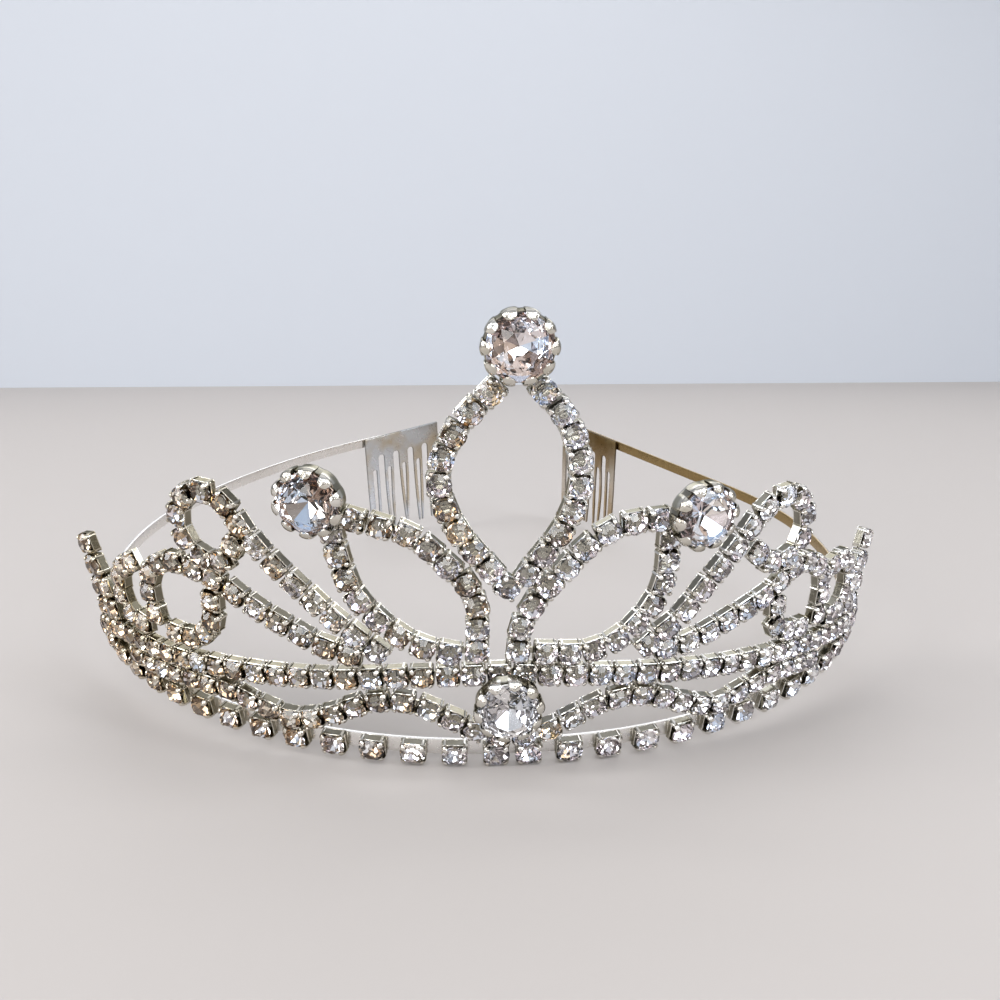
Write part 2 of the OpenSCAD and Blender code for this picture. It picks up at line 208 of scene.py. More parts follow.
def hull_box(hx, hy, hz, chamfer, y=0.0, z=0.0):
    """A box with chamfered edges: half sizes, chamfer, and the place of its middle."""
    bm = bmesh.new()
    for sx in (-1, 1):
        for sy in (-1, 1):
            for sz in (-1, 1):
                bm.verts.new((sx * hx, sy * (hy - chamfer), sz * (hz - chamfer)))
                bm.verts.new((sx * (hx - chamfer), sy * hy, sz * (hz - chamfer)))
                bm.verts.new((sx * (hx - chamfer), sy * (hy - chamfer), sz * hz))
    bmesh.ops.convex_hull(bm, input=bm.verts)
    bmesh.ops.dissolve_limit(bm, angle_limit=0.02, verts=bm.verts, edges=bm.edges)
    bm.verts.index_update()
    points = np.array([v.co[:] for v in bm.verts]) + (0, y, z)
    faces = [tuple(v.index for v in f.verts) for f in bm.faces]
    bm.free()
    return points, faces


def loft(rings):
    """A closed solid through rings of equally many points."""
    n = len(rings[0])
    faces = [tuple(reversed(range(n)))]
    for i in range(len(rings) - 1):
        for j in range(n):
            a, b = i * n + j, i * n + (j + 1) % n
            faces.append((a, b, b + n, a + n))
    faces.append(tuple((len(rings) - 1) * n + j for j in range(n)))
    return np.concatenate(rings), faces


def turned(points, degrees):
    """Points turned about z."""
    c, s = math.cos(math.radians(degrees)), math.sin(math.radians(degrees))
    return points @ np.array([[c, s, 0], [-s, c, 0], [0, 0, 1]])


def moved(points, matrix):
    m = np.array(matrix)
    return points @ m[:3, :3].T + m[:3, 3]


def joined(shapes):
    """One shape from several (points, faces, tint), with a tint for each point."""
    points, faces, tints, start = [], [], [], 0
    for p, f, tint in shapes:
        points.append(p)
        faces += [tuple(i + start for i in face) for face in f]
        tints.append(np.broadcast_to(tint, (len(p), 3)))
        start += len(p)
    return np.concatenate(points), faces, np.concatenate(tints)


def normals(path):
    """For each (radius, height, ...) of a claw's path, the direction away from the stone."""
    found = []
    for i in range(len(path)):
        r0, z0 = path[max(i - 1, 0)][:2]
        r1, z1 = path[min(i + 1, len(path) - 1)][:2]
        length = math.hypot(r1 - r0, z1 - z0)
        found.append(((z1 - z0) / length, -(r1 - r0) / length))
    return found


# A chain cup: half sizes along and across the chain, and heights of its long sides and of its ends
CUP_HALF_X, CUP_HALF_Y, CUP_FRONT, CUP_END = 1.66, 1.56, 1.26, 0.85
# Its sheet metal: half thickness of the back, the side plates and their rolled edges in front and behind
BACK_HALF_T, PLATE_HALF_T, EDGE_HALF_T = 0.13, 0.07, 0.1
# Half height of the front edge and of the foot behind, and the height of the foot's middle
EDGE_HALF_H, FOOT_HALF_H, FOOT_Z = 0.08, 0.07, 0.1
# How far the middles of plates and edges lie inside the cup's outline, and what each leaves free at a corner
PLATE_IN, EDGE_IN, PLATE_SHORT, EDGE_SHORT, FOOT_SHORT = 0.08, 0.06, 0.12, 0.03, 0.05
# A corner claw from the cup's back to the stone's crown: radius, height, half width and half thickness
CLAW_PATH = [(1.98, 0.0, 0.36, 0.10), (2.00, 0.8, 0.37, 0.11), (2.01, 1.2, 0.38, 0.13),
             (1.96, 1.55, 0.38, 0.16), (1.82, 1.81, 0.37, 0.18), (1.66, 1.97, 0.33, 0.18),
             (1.51, 2.08, 0.25, 0.14), (1.42, 2.15, 0.09, 0.06)]
CLAW_SIDES = 8
# Its stone: radius, height and thickness of the girdle, radius and height of the table, height of the point
GIRDLE_R, GIRDLE_Z, GIRDLE_H, TABLE_R, TABLE_Z, CULET_Z = 1.70, 1.50, 0.26, 0.95, 2.40, 0.05
# Tints of the metal: side plates, rolled edges, claws and backs; the side plates' darker tint is painted
# shade, for the dim surroundings they mirror
SHADED_WALL_TINT, EDGE_TINT, CLAW_TINT = (0.42, 0.41, 0.36), (1.0, 1.0, 0.98), (0.96, 0.95, 0.94)
BACK_TINT = (0.84, 0.83, 0.80)


def claw():
    rings = []
    for (r, z, w, t), (nr, nz) in zip(CLAW_PATH, normals(CLAW_PATH)):
        ring = []
        for k in range(CLAW_SIDES):
            a = 2 * math.pi * k / CLAW_SIDES
            ring.append((r + nr * t * math.cos(a), w * math.sin(a), z + nz * t * math.cos(a)))
        rings.append(np.array(ring))
    return loft(rings)


def cup_metal():
    """A back plate, four side plates with a raised bright edge and a foot, and four corner claws."""
    arm, arm_faces = claw()
    back = hull_box(CUP_HALF_X - EDGE_IN, CUP_HALF_Y - EDGE_IN, BACK_HALF_T, chamfer=0.1, z=BACK_HALF_T)
    shapes = [(*back, BACK_TINT)]
    for q in range(4):
        along, out, front = CUP_HALF_X, CUP_HALF_Y, CUP_FRONT
        if q % 2:
            along, out, front = CUP_HALF_Y, CUP_HALF_X, CUP_END
        plate = hull_box(along - PLATE_SHORT, PLATE_HALF_T, front / 2 - 0.05, chamfer=0.04,
                         y=out - PLATE_IN, z=front / 2)
        edge = hull_box(along - EDGE_SHORT, EDGE_HALF_T, EDGE_HALF_H, chamfer=0.06, y=out - EDGE_IN, z=front)
        foot = hull_box(along - FOOT_SHORT, EDGE_HALF_T, FOOT_HALF_H, chamfer=0.05,
                        y=out - PLATE_IN, z=FOOT_Z)
        # Painted shade: the side plates are tinted darker than the edges, feet and claws of the same metal
        for (points, faces), tint in ((plate, SHADED_WALL_TINT), (edge, EDGE_TINT), (foot, EDGE_TINT)):
            shapes.append((turned(points, 90 * q), faces, tint))
        shapes.append((turned(arm, 90 * q + 45), arm_faces, CLAW_TINT))
    return joined(shapes)


def small_stone(aside):
    """A chain's round stone: a table, eight facets in front and eight foiled ones behind. Its point is moved
    aside, off the middle."""
    half = math.cos(math.pi / 8)
    top_z = GIRDLE_Z + GIRDLE_H
    # The facets are flat, so that they meet the round girdle in a wave
    fall = (TABLE_Z - top_z) / (GIRDLE_R - TABLE_R) / half * GIRDLE_R * (1 - half)
    rise = (GIRDLE_Z - CULET_Z) * (1 / half - 1)
    points = []
    for k in range(8):
        a = math.pi * (2 * k + 1) / 8
        points.append((TABLE_R * math.cos(a), TABLE_R * math.sin(a), TABLE_Z))
    for odd_z, even_z in ((top_z, top_z - fall), (GIRDLE_Z + rise, GIRDLE_Z)):
        for k in range(16):
            a = math.pi * k / 8
            points.append((GIRDLE_R * math.cos(a), GIRDLE_R * math.sin(a), odd_z if k % 2 else even_z))
    points.append((aside, 0, CULET_Z))
    # Numbers of the first point of the girdle's upper and lower ring, and of the stone's point
    top, low, culet = 8, 24, 40
    front, back = [tuple(range(8))], []
    for k in range(8):
        j = 2 * k
        front.append((k, top + j + 1, top + (j + 2) % 16, top + (j + 3) % 16, (k + 1) % 8))
        back.append((culet, low + j, low + j + 1, low + (j + 2) % 16))
    for k in range(16):
        n = (k + 1) % 16
        back.append((low + k, low + n, top + n, top + k))
    return np.array(points), front, back


# A big stone: radius, height and thickness of its girdle, radius and height of its table, height of its point
BIG_GIRDLE_R, BIG_GIRDLE_Z, BIG_GIRDLE_H = 4.38, 2.6, 0.2
BIG_TABLE_R, BIG_TABLE_Z, BIG_CULET_Z = 2.3, 4.16, 0.45
# Its crown and its back each have a ring of points between: the rings' radius and the height of the front one
# over a plain cone, as shares of the girdle's radius, and the back one's share of the way to the point
BIG_RING, BIG_CROWN, BIG_DEEP = 0.8, 0.03, 0.24
# Its setting: a turned cup with a rolled foot, and claws like petals folded over the crown
PETALS = 10
# Radius, height and half width of a petal, from the cup's wall to its tip
PETAL_PATH = [(4.66, 1.0, 0.98), (4.70, 1.8, 1.04), (4.74, 2.4, 1.02), (4.73, 2.78, 0.96), (4.58, 3.05, 0.88),
              (4.32, 3.22, 0.80), (4.06, 3.35, 0.69), (3.86, 3.45, 0.52), (3.74, 3.50, 0.26)]
# Points across a petal, height of its raised middle, and how far its two faces lie from its path
PETAL_COLUMNS, PETAL_SWELL, PETAL_FRONT, PETAL_BACK = 7, 0.2, 0.09, -0.08
# Radius and height of the cup's wall; between the petals it is pressed in by FLUTE of its radius
CUP_PROFILE = [(0.0, 0.0), (3.9, 0.0), (4.3, 0.12), (4.58, 0.5), (4.68, 0.9), (4.64, 1.2), (4.66, 2.1),
               (4.62, 2.4), (4.46, 2.4), (4.44, 1.9), (4.4, 1.0), (3.9, 0.45), (0.0, 0.3)]
FLUTE, WALL_SIDES = 0.03, 120
# The petals carry painted shade, light above one height and deeper below it; the cup's wall carries the
# deeper painted shade, and has the colour of a back below another height
SHADED_PETAL_TINT, PETAL_DEEP_SHADE_Z, SETTING_BACK_Z = (0.80, 0.79, 0.76), 2.2, 0.6


def big_stone():
    """A big round stone: a table, eight stars, eight kites and sixteen halves, and a foiled back."""
    points, front, back = [], [], []

    def ring(r, z, n, phase):
        """Adds a ring of n points and gives the number of its first one."""
        first = len(points)
        for k in range(n):
            a = 2 * math.pi * (k + phase) / n
            points.append((r * math.cos(a), r * math.sin(a), z))
        return first

    top_z = BIG_GIRDLE_Z + BIG_GIRDLE_H
    mid_r = BIG_GIRDLE_R * BIG_RING
    fall = (top_z - BIG_TABLE_Z) * (mid_r - BIG_TABLE_R) / (BIG_GIRDLE_R - BIG_TABLE_R)
    table = ring(BIG_TABLE_R, BIG_TABLE_Z, 8, 0.5)
    mid = ring(mid_r, BIG_TABLE_Z + fall + BIG_CROWN * BIG_GIRDLE_R, 8, 0)
    top = ring(BIG_GIRDLE_R, top_z, 16, 0)
    low = ring(BIG_GIRDLE_R, BIG_GIRDLE_Z, 16, 0)
    deep = ring(mid_r, BIG_GIRDLE_Z + (BIG_CULET_Z - BIG_GIRDLE_Z) * BIG_DEEP, 8, 0.5)
    culet = len(points)
    points.append((0, 0, BIG_CULET_Z))
    front.append(tuple(table + k for k in range(8)))
    for k in range(8):
        n = (k + 1) % 8
        odd, even = (2 * k + 1) % 16, (2 * k + 2) % 16
        front.append((table + (k - 1) % 8, mid + k, table + k))
        front.append((mid + k, top + odd, mid + n))
        front.append((mid + k, mid + n, table + k))
        front.append((mid + k, top + 2 * k, top + odd))
        front.append((mid + n, top + odd, top + even))
        back.append((low + 2 * k, deep + k, low + odd))
        back.append((low + odd, deep + k, low + even))
        back.append((low + 2 * k, deep + (k - 1) % 8, deep + k))
        back.append((deep + (k - 1) % 8, culet, deep + k))
    for k in range(16):
        n = (k + 1) % 16
        back.append((low + k, low + n, top + n, top + k))
    return np.array(points), front, back


def petal():
    """One claw: a thin curved sheet with a raised middle, closed into a solid."""
    columns = PETAL_COLUMNS
    front, back = [], []
    for i, ((r, z, half), (nr, nz)) in enumerate(zip(PETAL_PATH, normals(PETAL_PATH))):
        for k in range(columns):
            u = 2 * k / (columns - 1) - 1
            a = u * half / r
            # The petal is flatter where it leaves the cup, and hollow behind its raised middle
            swell = PETAL_SWELL * (1 - u * u) * min(1, 0.3 + i / 4)
            for rows, t in ((front, PETAL_FRONT + swell), (back, PETAL_BACK + swell * 0.5)):
                rr = r + nr * t
                rows.append((rr * math.cos(a), rr * math.sin(a), z + nz * t))
    n = len(PETAL_PATH)
    size = n * columns
    faces = []
    for i in range(n - 1):
        for k in range(columns - 1):
            a = i * columns + k
            faces.append((a, a + 1, a + columns + 1, a + columns))
            faces.append((size + a, size + a + columns, size + a + columns + 1, size + a + 1))
        for k in (0, columns - 1):
            a = i * columns + k
            faces.append((a, a + columns, size + a + columns, size + a))
    for i in (0, n - 1):
        for k in range(columns - 1):
            a = i * columns + k
            faces.append((a, size + a, size + a + 1, a + 1))
    return np.array(front + back), faces


def fluted_cup(spin):
    """The setting's turned wall, pressed in between the petals."""
    points, faces, rings = [], [], []
    for r, z in CUP_PROFILE:
        if r == 0:
            rings.append([len(points)] * WALL_SIDES)
            points.append((0, 0, z))
        else:
            rings.append(list(range(len(points), len(points) + WALL_SIDES)))
            for k in range(WALL_SIDES):
                a = 2 * math.pi * k / WALL_SIDES
                press = 1 - FLUTE * (0.5 - 0.5 * math.cos(PETALS * (a - math.radians(spin)))) ** 2
                points.append((r * press * math.cos(a), r * press * math.sin(a), z))
    for low, high in zip(rings, rings[1:]):
        for k in range(WALL_SIDES):
            n = (k + 1) % WALL_SIDES
            # At the axis two corners are one point, which is named once
            faces.append(tuple(dict.fromkeys((low[k], low[n], high[n], high[k]))))
    return np.array(points), faces


def setting_metal(spin):
    wall, wall_faces = fluted_cup(spin)
    # Painted shade: the wall above the back's height and the petals' lower parts are tinted darkest, the
    # petals' tips lighter
    shapes = [(wall, wall_faces, np.where(wall[:, 2:] < SETTING_BACK_Z, BACK_TINT, SHADED_WALL_TINT))]
    one, one_faces = petal()
    tints = np.where(one[:, 2:] < PETAL_DEEP_SHADE_Z, SHADED_WALL_TINT, SHADED_PETAL_TINT)
    for k in range(PETALS):
        shapes.append((turned(one, spin + 360 * k / PETALS), one_faces, tints))
    return joined(shapes)


# Making objects

def add_object(name, data):
    item = bpy.data.objects.new(name, data)
    bpy.context.scene.collection.objects.link(item)
    return item


def add_piece(name, mesh, replaces):
    """A piece of the tiara's one body."""
    piece = add_object(name, mesh)
    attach(piece, "root")
    if replaces:
        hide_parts(*replaces)


def smooth(mesh, sharp):
    """Smooth shading, apart from edges over an angle of sharp degrees."""
    mesh.polygons.foreach_set("use_smooth", [True] * len(mesh.polygons))
    mesh.set_sharp_from_angle(angle=math.radians(sharp))


class Piece:
    """Gathers solids into one object. Metal has a tint for each point, and stones have one for each face."""

    def __init__(self, name):
        self.name, self.count = name, 0
        self.points, self.faces, self.slots, self.tints, self.face_tints = [], [], [], [], []

    def add(self, points, faces, tints, matrix, shade=1.0):
        self.points.append(moved(points, matrix))
        self.faces += [tuple(i + self.count for i in f) for f in faces]
        self.slots += [0] * len(faces)
        self.tints.append(np.broadcast_to(np.array(tints) * shade, (len(points), 3)))
        self.count += len(points)

    def add_stone(self, stone, matrix, warmth, cold_tints, warm_tints):
        """Adds a stone; warmth is the share of its foiled facets that have a warm tint."""
        points, front, back = stone
        self.add(points, front, (1, 1, 1), matrix)
        self.faces += [tuple(i + self.count - len(points) for i in f) for f in back]
        self.slots += [1] * len(back)
        self.face_tints += [(1, 1, 1)] * len(front)
        for facet in back:
            tints = warm_tints if random.random() < warmth else cold_tints
            self.face_tints.append(random.choice(tints))

    def make(self, materials, slot, replaces=(), sharp=None):
        mesh = bpy.data.meshes.new(self.name)
        mesh.from_pydata(np.concatenate(self.points) * MM, [], self.faces)
        for m in materials:
            mesh.materials.append(m)
        mesh.polygons.foreach_set("material_index", self.slots)
        tint = mesh.color_attributes.new("Tint", "FLOAT_COLOR", "CORNER" if self.face_tints else "POINT")
        if self.face_tints:
            colours = np.repeat(np.array(self.face_tints), [len(f) for f in self.faces], axis=0)
        else:
            colours = np.concatenate(self.tints)
        tint.data.foreach_set("color", np.column_stack([colours, np.ones(len(colours))]).ravel())
        bm = bmesh.new()
        bm.from_mesh(mesh)
        bmesh.ops.recalc_face_normals(bm, faces=bm.faces)
        bm.to_mesh(mesh)
        bm.free()
        if sharp is not None:
            smooth(mesh, sharp)
        add_piece(self.name, mesh, replaces)


# Materials

def new_material(name):
    material = bpy.data.materials.new(name)
    material.use_nodes = True
    nodes, links = material.node_tree.nodes, material.node_tree.links
    return material, nodes, links, nodes["Principled BSDF"]


def noise(nodes, links, scale, detail, coordinates):
    node = nodes.new("ShaderNodeTexNoise")
    node.inputs["Scale"].default_value = scale
    node.inputs["Detail"].default_value = detail
    links.new(coordinates.outputs["Object"], node.inputs["Vector"])
    return node.outputs["Fac"]


def ramp(nodes, links, source, stops):
    node = nodes.new("ShaderNodeValToRGB")
    elements = node.color_ramp.elements
    while len(elements) > 1:
        elements.remove(elements[-1])
    elements[0].position, elements[0].color = stops[0][0], (*stops[0][1], 1)
    for position, colour in stops[1:]:
        elements.new(position).color = (*colour, 1)
    links.new(source, node.inputs["Fac"])
    return node.outputs["Color"]


def grey(v):
    return (v, v, v)


def multiply(nodes, links, a, b):
    node = nodes.new("ShaderNodeMix")
    node.data_type, node.blend_type = "RGBA", "MULTIPLY"
    node.inputs["Factor"].default_value = 1
    links.new(a, node.inputs["A"])
    links.new(b, node.inputs["B"])
    return node.outputs["Result"]


def mesh_tint(nodes):
    node = nodes.new("ShaderNodeVertexColor")
    node.layer_name = "Tint"
    return node.outputs["Color"]


def worn(nodes, links, bsdf, coordinates, scale, low, high, distance):
    """A metal's fine unevenness, in its roughness from low to high and in its bump."""
    fine = noise(nodes, links, scale, detail=3, coordinates=coordinates)
    links.new(ramp(nodes, links, fine, [(0.3, grey(low)), (0.7, grey(high))]), bsdf.inputs["Roughness"])
    bsdf.inputs["Metallic"].default_value = 1.0
    node = nodes.new("ShaderNodeBump")
    node.inputs["Strength"].default_value = 0.25
    node.inputs["Distance"].default_value = distance
    links.new(fine, node.inputs["Height"])
    links.new(node.outputs["Normal"], bsdf.inputs["Normal"])


# What the foil behind a facet throws back: white, lilac, pale blue and grey, and in a warm stone ambers.
# These tints are partly the foil's own colours and partly painted reflection, with white and dark facets for
# bright and dark surroundings
COLD_TINTS = [(1.0, 1.0, 1.0), (1.0, 0.98, 0.98), (0.98, 0.92, 0.94), (0.84, 0.90, 1.0), (0.52, 0.48, 0.48)]
WARM_TINTS = [(0.97, 0.88, 0.74), (0.76, 0.60, 0.40), (0.54, 0.40, 0.26), (0.90, 0.79, 0.64),
              (0.26, 0.19, 0.13)]
BIG_COLD_TINTS = [(1.0, 0.99, 0.99), (0.72, 0.84, 1.0), (0.98, 0.93, 0.94), (0.74, 0.68, 0.67),
                  (0.38, 0.32, 0.31)]
BIG_WARM_TINTS = [(1.0, 0.94, 0.88), (0.72, 0.58, 0.48), (0.50, 0.38, 0.31), (0.95, 0.86, 0.80),
                  (0.28, 0.20, 0.16)]
BIG_CLEAR_TINTS = [(1.0, 1.0, 1.0), (0.90, 0.94, 1.0), (1.0, 0.99, 0.98), (0.88, 0.88, 0.88),
                   (0.62, 0.60, 0.60)]


def plate_metal(name, bright, dull, low, high, scale, soft, grazing=(1, 1, 1)):
    """Silver plate: bright metal with patches gone dull, whose edges are as wide as soft. Low and high bound
    its roughness, and grazing tints what it mirrors at a low angle."""
    material, nodes, links, bsdf = new_material(name)
    coordinates = nodes.new("ShaderNodeTexCoord")
    patches = noise(nodes, links, scale, detail=5, coordinates=coordinates)
    colour = ramp(nodes, links, patches, [(0.5 - soft, dull), (0.5 + soft, bright)])
    links.new(multiply(nodes, links, colour, mesh_tint(nodes)), bsdf.inputs["Base Color"])
    bsdf.inputs["Specular Tint"].default_value = (*grazing, 1)
    worn(nodes, links, bsdf, coordinates, scale * 9, low, high, distance=0.00004)
    return material


def crystal():
    """The clear glass of a stone's front."""
    material, nodes, links, bsdf = new_material("crystal")
    bsdf.inputs["Base Color"].default_value = (0.99, 0.99, 1.0, 1)
    bsdf.inputs["Roughness"].default_value = 0.0
    bsdf.inputs["IOR"].default_value = 1.56
    bsdf.inputs["Transmission Weight"].default_value = 1.0
    return material


def foil():
    """The mirror behind a stone, tinted facet by facet."""
    material, nodes, links, bsdf = new_material("foil")
    links.new(mesh_tint(nodes), bsdf.inputs["Base Color"])
    bsdf.inputs["Metallic"].default_value = 1.0
    bsdf.inputs["Roughness"].default_value = 0.03
    return material


chain_plate = plate_metal("silver_chain", bright=(0.94, 0.93, 0.91), dull=(0.78, 0.75, 0.68), low=0.10,
                          high=0.24, scale=260, soft=0.12, grazing=(0.42, 0.41, 0.36))
strip_plate = plate_metal("silver_strip", bright=(0.93, 0.93, 0.93), dull=(0.80, 0.78, 0.75), low=0.20,
                          high=0.34, scale=45, soft=0.2)
stone_materials = [crystal(), foil()]

# Chains
CUP = cup_metal()
# The stones differ in how far their point lies aside, so that they flash from different angles
CHATONS = [small_stone(aside) for aside in (0.03, 0.1, 0.17, 0.24)]
# A bar between two cups, 2 mm long before it is stretched, and how far it stands out from the cups' backs
LINK = hull_box(1.0, 0.16, 0.5, chamfer=0.08)
LINK_OUT = 0.5
# Angles in degrees by which a cup and the stone in it stand out of line
CUP_LOOSE, STONE_LOOSE = 2, 5
# A cup's width along the chain, as a share of its own, where a route stretches its pitch
NARROWEST, WIDEST = 0.97, 1.14
# The end posts are bent a little towards the front
POST_TWIST = {"left_post": 16, "right_post": -16}
# The chains' metal and stones are browner towards the left, fully so this far along the strip; on the metal
# this is painted shade with a painted brown reflection
BROWN_END = 75
# Share of warm facets at the middle, how much it differs between stones, and the most it can be
WARM_MIDDLE, WARM_SPREAD, WARM_MOST = 0.12, 0.2, 0.95
# Brightness of the darkest cup outside the painted shade, and what a cup in the full painted shade of the
# left end loses of its red, green and blue
DARKEST, LEFT_SHADE_LOSS = 0.88, np.array((0.20, 0.25, 0.36))
# Angle in degrees from which an edge stays sharp
CHAIN_SHARP, STRIP_SHARP = 35, 40


def stone_warmth(s):
    """How brown a stone is: more on the left, less on the right, each stone a little different."""
    return clamp(WARM_MIDDLE - s / BROWN_END + random.uniform(-WARM_SPREAD, WARM_SPREAD), 0, WARM_MOST)


def metal_shade(s):
    """Tint of a cup's metal: each cup a little different, and darker and browner to the left, as painted
    shade.
    """
    return random.uniform(DARKEST, 1.0) * (1 - clamp(-s / BROWN_END) * LEFT_SHADE_LOSS)


def loose(tilt, spin_from, spin_to):
    """A small chance turn: up to tilt degrees about x and about y, and between two angles about z."""
    return (turn(random.uniform(-tilt, tilt), "X") @ turn(random.uniform(-tilt, tilt), "Y")
            @ turn(random.uniform(spin_from, spin_to), "Z"))


def add_cup(metal, stones, seat, s, width):
    """A cup and its stone at a seat. S is its place on the strip, and width stretches it along its chain."""
    points, faces, tints = CUP
    metal_seat = seat @ loose(CUP_LOOSE, -CUP_LOOSE, CUP_LOOSE)
    metal.add(points * (width, 1, 1), faces, tints, metal_seat, metal_shade(s))
    stone_seat = seat @ Matrix.Diagonal((width, 1, 1, 1)) @ loose(STONE_LOOSE, 0, 360)
    stone = random.choice(CHATONS)
    stones.add_stone(stone, stone_seat, stone_warmth(s), COLD_TINTS, WARM_TINTS)


def add_link(metal, a, b):
    """A bar between two places (s, h) on the wall."""
    length = math.hypot(b[0] - a[0], b[1] - a[1])
    direction = math.degrees(math.atan2(b[1] - a[1], b[0] - a[0]))
    middle = on_wall((a[0] + b[0]) / 2, (a[1] + b[1]) / 2)
    points, faces = LINK
    seat = middle @ turn(-direction, "Y") @ shift(0, -LINK_OUT, 0)
    # The bar carries the side plates' painted shade
    metal.add(points * (length / 2, 1, 1), faces, SHADED_WALL_TINT, seat)


def make_chains(node, routes, nod=0, ties=()):
    """The cups and stones of one motif, which stand for its CAD node."""
    metal, stones = Piece(node + "_cups"), Piece(node + "_chatons")
    for route in routes:
        line = cups(ROUTES[route])
        twist = POST_TWIST.get(route, 0)
        # The cups of a short run are a little wider, so that they still meet
        spacing = math.hypot(line[1][0] - line[0][0], line[1][1] - line[0][1])
        width = clamp(spacing / PITCH, NARROWEST, WIDEST)
        for s, h, direction in line:
            seat = on_wall(s, h) @ turn(nod, "X") @ turn(twist, "Z") @ turn(-direction, "Y")
            add_cup(metal, stones, seat @ FACING, s, width)
        for a, b in zip(line, line[1:]):
            add_link(metal, a, b)
    for a, b in ties:
        add_link(metal, a, b)
    metal.make([chain_plate], "chain_metal", [node], CHAIN_SHARP)
    stones.make(stone_materials, "rhinestone")


make_chains("main_row", ["main"], ROW_NOD)
make_chains("lower_garland", ["garland"], GARLAND_NOD)
make_chains("centre_loop", ["loop"])
make_chains("left_scroll", ["left_scroll", "left_arm"], ties=LEFT_SCROLL_TIES)
make_chains("right_scroll", ["right_scroll", "right_arm"], ties=RIGHT_SCROLL_TIES)
for side, ties in (("left", LEFT_WING_TIES), ("right", RIGHT_WING_TIES)):
    routes = [f"{side}_{part}" for part in ("wing", "branch", "drop", "end", "post", "brace")]
    make_chains(side + "_wing", routes, ties=ties)

# Headband: its hanging cups are a little larger than the chain's; raised, they keep their lower edge
FRINGE_WIDE, FRINGE_TALL, FRINGE_RAISE = 1.12, 1.08, 0.13
# Radius of the strip's rounded edges, and length between its sections
STRIP_CORNER, STRIP_STEP = 0.16, 1.5
STRIP_SILVER = np.array((1.0, 0.99, 0.98))
STRIP_BRASS = np.array((0.38, 0.27, 0.12))
STRIP_BROWN = np.array((0.93, 0.90, 0.86))
# On the right the strip turns to brass: where that starts, over what length, and its share on the outside
BRASS_FROM, BRASS_OVER, BRASS_OUTSIDE = 25, 40, 0.35
# Towards the left end it turns a little brown: where that starts, over what length, and its largest share
BROWN_FROM, BROWN_OVER, BROWN_MOST = 150, 60, 0.5


def make_fringe():
    metal, stones = Piece("fringe_cups"), Piece("fringe_chatons")
    height = STRIP_H + FRINGE_RAISE - CUP_W / 2 * math.cos(math.radians(FRINGE_NOD))
    tall = Matrix.Diagonal((1, FRINGE_TALL, 1, 1))
    for k in range(FRINGE_COUNT):
        for side in (-1, 1):
            s = side * (FRINGE_GAP / 2 + k * FRINGE_PITCH)
            seat = on_strip(s) @ shift(0, FRINGE_SEAT, height) @ turn(FRINGE_NOD, "X") @ FACING @ tall
            add_cup(metal, stones, seat, s, FRINGE_WIDE)
    metal.make([chain_plate], "headband_metal", sharp=CHAIN_SHARP)
    stones.make(stone_materials, "rhinestone")


def strip_section():
    """Outline of the strip, a bar with rounded edges: depth from its outer face and height."""
    near, far, top = STRIP_CORNER, STRIP_T - STRIP_CORNER, STRIP_H - STRIP_CORNER
    section = []
    for u, z, start in ((far, near, -90), (far, top, 0), (near, top, 90), (near, near, 180)):
        for degrees in (start, start + 45, start + 90):
            a = math.radians(degrees)
            section.append((u + STRIP_CORNER * math.cos(a), z + STRIP_CORNER * math.sin(a)))
    return section


def strip_tint(s, u):
    """The strip's right part is brassy, most on its inner side, and its left end is a little browned."""
    if s > 0:
        inner = clamp(u / STRIP_T)
        share = clamp((s - BRASS_FROM) / BRASS_OVER) * (BRASS_OUTSIDE + (1 - BRASS_OUTSIDE) * inner)
        return STRIP_SILVER + (STRIP_BRASS - STRIP_SILVER) * share
    share = clamp((-s - BROWN_FROM) / BROWN_OVER) * BROWN_MOST
    return STRIP_SILVER + (STRIP_BROWN - STRIP_SILVER) * share


def make_strip():
    section = strip_section()
    left, right = np.arange(-LEFT_LENGTH, 0, STRIP_STEP), np.arange(0, RIGHT_LENGTH, STRIP_STEP)
    rings, tints = [], []
    for s in np.concatenate([left, right, [RIGHT_LENGTH]]):
        (x, y), heading = place(abs(s), BACK_RADIUS if s < 0 else 0)
        side = -1 if s < 0 else 1
        rings.append(np.array([(side * (x - u * math.sin(heading)), y + u * math.cos(heading), z)
                               for u, z in section]))
        tints += [strip_tint(s, u) for u, z in section]
    band = Piece("headband_strip")
    band.add(*loft(rings), tints, STANDING)
    band.make([strip_plate], "headband_metal", ["headband"], STRIP_SHARP)


make_fringe()
make_strip()

# Combs: width, thickness and length, gap to the strip, and depth of the plate above its slits
COMB_W, COMB_T, COMB_LENGTH, COMB_OFF, SLIT_TOP = 25, 0.7, 30, 0.15, 9.8
# Number of prongs, and distance from one to the next
PRONGS, PRONG_PITCH = 10, 2.5
# Length along the strip to the comb, bend of the strip there, angle by which its free end is turned up
COMBS = {"left_comb": (-209.7, BACK_RADIUS, 3), "right_comb": (196.3, 0, 0)}
# Radius of a comb's rounded edges, and angle in degrees from which an edge is rounded
COMB_EDGE, COMB_SHARP = 0.28, 50
# How far the prongs bow sideways and through the plate, and length above their tips where the bow ends
PRONG_SWING, PRONG_BOW, PRONG_REST = 0.22, 0.25, 4
# Brightness of the cut edges, as a share of the flat faces': painted shade, for the dim surroundings that the
# side faces mirror
EDGE_PAINTED_SHADE = 0.4
# Heights between which the teeth's colour turns to the plate's, as shares of the comb's height
TEETH_TO, PLATE_FROM = 0.45, 0.85


